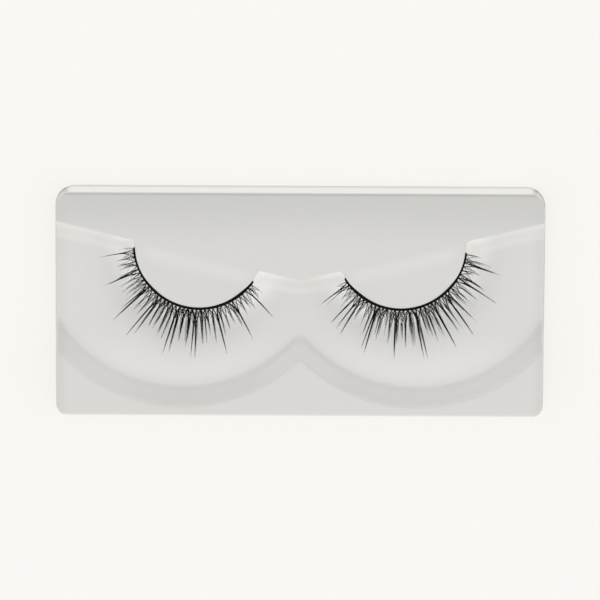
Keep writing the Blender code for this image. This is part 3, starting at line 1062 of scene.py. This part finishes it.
class LASHES_OT_hairs(bpy.types.Operator):
    """Grow the hairs of both lashes in fans from the knots"""

    bl_idname = "lashes.hairs"
    bl_label = "Hairs"

    def execute(self, context):
        hairs = context.scene.lash_hair
        for name, lash in LASHES.items():
            mesh = hair_mesh(name + "_hairs", lash, hairs)
            finish = hair_finish(name, lash, hairs)
            finished(name + "_hairs", mesh, finish, "fringe", name + "_fringe")
        return {"FINISHED"}


# The stage

TARGET = Vector((0, 0.001114, 0.010))
KEY_PLACE = (0.0, -1.09, 1.30)
KEY_SIZE = (1.2, 1.2)
RIM_PLACE = (0.0, 1.55, 0.035)
RIM_SIZE = (1.8, 0.06)


def add_light(name, place, size, power):
    light = bpy.data.lights.new(name, "AREA")
    light.shape = "RECTANGLE"
    light.size, light.size_y = size
    light.energy = power
    made = bpy.data.objects.new(name, light)
    made.location = place
    made.rotation_euler = (TARGET - Vector(place)).to_track_quat("-Z", "Y").to_euler()
    bpy.context.scene.collection.objects.link(made)
    return made


def floor_finish(colour, glow):
    """Matt paper with a barely visible grain."""
    finish = Finish("paper_floor")
    place = finish.object_place()
    grain = finish.noise(place, 700.0)
    faint = tuple(level * 0.985 for level in colour)
    finish.shade(
        {
            "Base Color": finish.blend(grain, colour, faint),
            "Roughness": 0.9,
            "Specular IOR Level": 0.0,
            "Emission Color": glow,
            "Emission Strength": 1.0,
        }
    )
    return finish


class LASHES_OT_stage(bpy.types.Operator):
    """Set up the pale floor, the soft light and the camera"""

    bl_idname = "lashes.stage"
    bl_label = "Stage"

    def execute(self, context):
        stage = context.scene.lash_stage
        scene = context.scene
        bm = bmesh.new()
        bmesh.ops.create_grid(bm, x_segments=4, y_segments=4, size=stage.floor_size / 2)
        mesh = bpy.data.meshes.new("floor")
        bm.to_mesh(mesh)
        bm.free()
        mesh.materials.append(floor_finish(stage.floor_colour, stage.floor_glow).material)
        floor = bpy.data.objects.new("floor", mesh)
        floor.location.z = -stage.floor_gap
        scene.collection.objects.link(floor)

        off_floor = bpy.data.collections.new("off_floor")
        off_floor.objects.link(floor)
        off_floor.collection_objects[0].light_linking.link_state = "EXCLUDE"
        for light in (
            add_light("key", KEY_PLACE, KEY_SIZE, stage.key_power),
            add_light("rim", RIM_PLACE, RIM_SIZE, stage.rim_power),
        ):
            light.light_linking.receiver_collection = off_floor
        world = bpy.data.worlds.new("studio")
        world.use_nodes = True
        sky = world.node_tree.nodes["Background"]
        sky.inputs["Color"].default_value = (1.0, 0.995, 0.985, 1)
        sky.inputs["Strength"].default_value = stage.sky_strength
        scene.world = world
        scene.view_settings.view_transform = "Standard"

        camera = bpy.data.cameras.new("camera")
        camera.lens = stage.lens
        camera.sensor_width = 36
        camera.clip_start = 0.01
        holder = bpy.data.objects.new("camera", camera)
        scene.collection.objects.link(holder)
        back = Vector((0, math.sin(stage.camera_tilt), math.cos(stage.camera_tilt)))
        tilt = Matrix.Rotation(-stage.camera_tilt, 4, "X")
        place = Matrix.Translation(TARGET + back * stage.camera_distance)
        holder.matrix_world = place @ tilt @ Matrix.Rotation(stage.camera_roll, 4, "Z")
        scene.camera = holder
        return {"FINISHED"}


OPERATORS = (LASHES_OT_tray, LASHES_OT_bands, LASHES_OT_hairs, LASHES_OT_stage)


class LASHES_PT_panel(bpy.types.Panel):
    """Lists the pieces of the eyelash pair and its tray."""

    bl_idname = "LASHES_PT_panel"
    bl_label = "Lashes and Tray"
    bl_space_type = "VIEW_3D"
    bl_region_type = "UI"
    bl_category = "Lashes"

    def draw(self, context):
        for operator in OPERATORS:
            self.layout.operator(operator.bl_idname)
        for settings in (getattr(context.scene, name) for name in SETTINGS):
            box = self.layout.box()
            for name in settings.bl_rna.properties.keys():
                if name not in ("rna_type", "name"):
                    box.prop(settings, name)


SETTINGS = {
    "lash_tray": TraySettings,
    "lash_band": BandSettings,
    "lash_hair": HairSettings,
    "lash_stage": StageSettings,
}
CLASSES = (*SETTINGS.values(), *OPERATORS, LASHES_PT_panel)


def register():
    for each in CLASSES:
        bpy.utils.register_class(each)
    for name, settings in SETTINGS.items():
        setattr(bpy.types.Scene, name, PointerProperty(type=settings))


def unregister():
    for name in SETTINGS:
        delattr(bpy.types.Scene, name)
    for each in reversed(CLASSES):
        bpy.utils.unregister_class(each)


def main():
    register()
    bpy.ops.lashes.stage()
    bpy.ops.lashes.tray()
    bpy.ops.lashes.bands()
    bpy.ops.lashes.hairs()


if __name__ == "__main__":
    main()
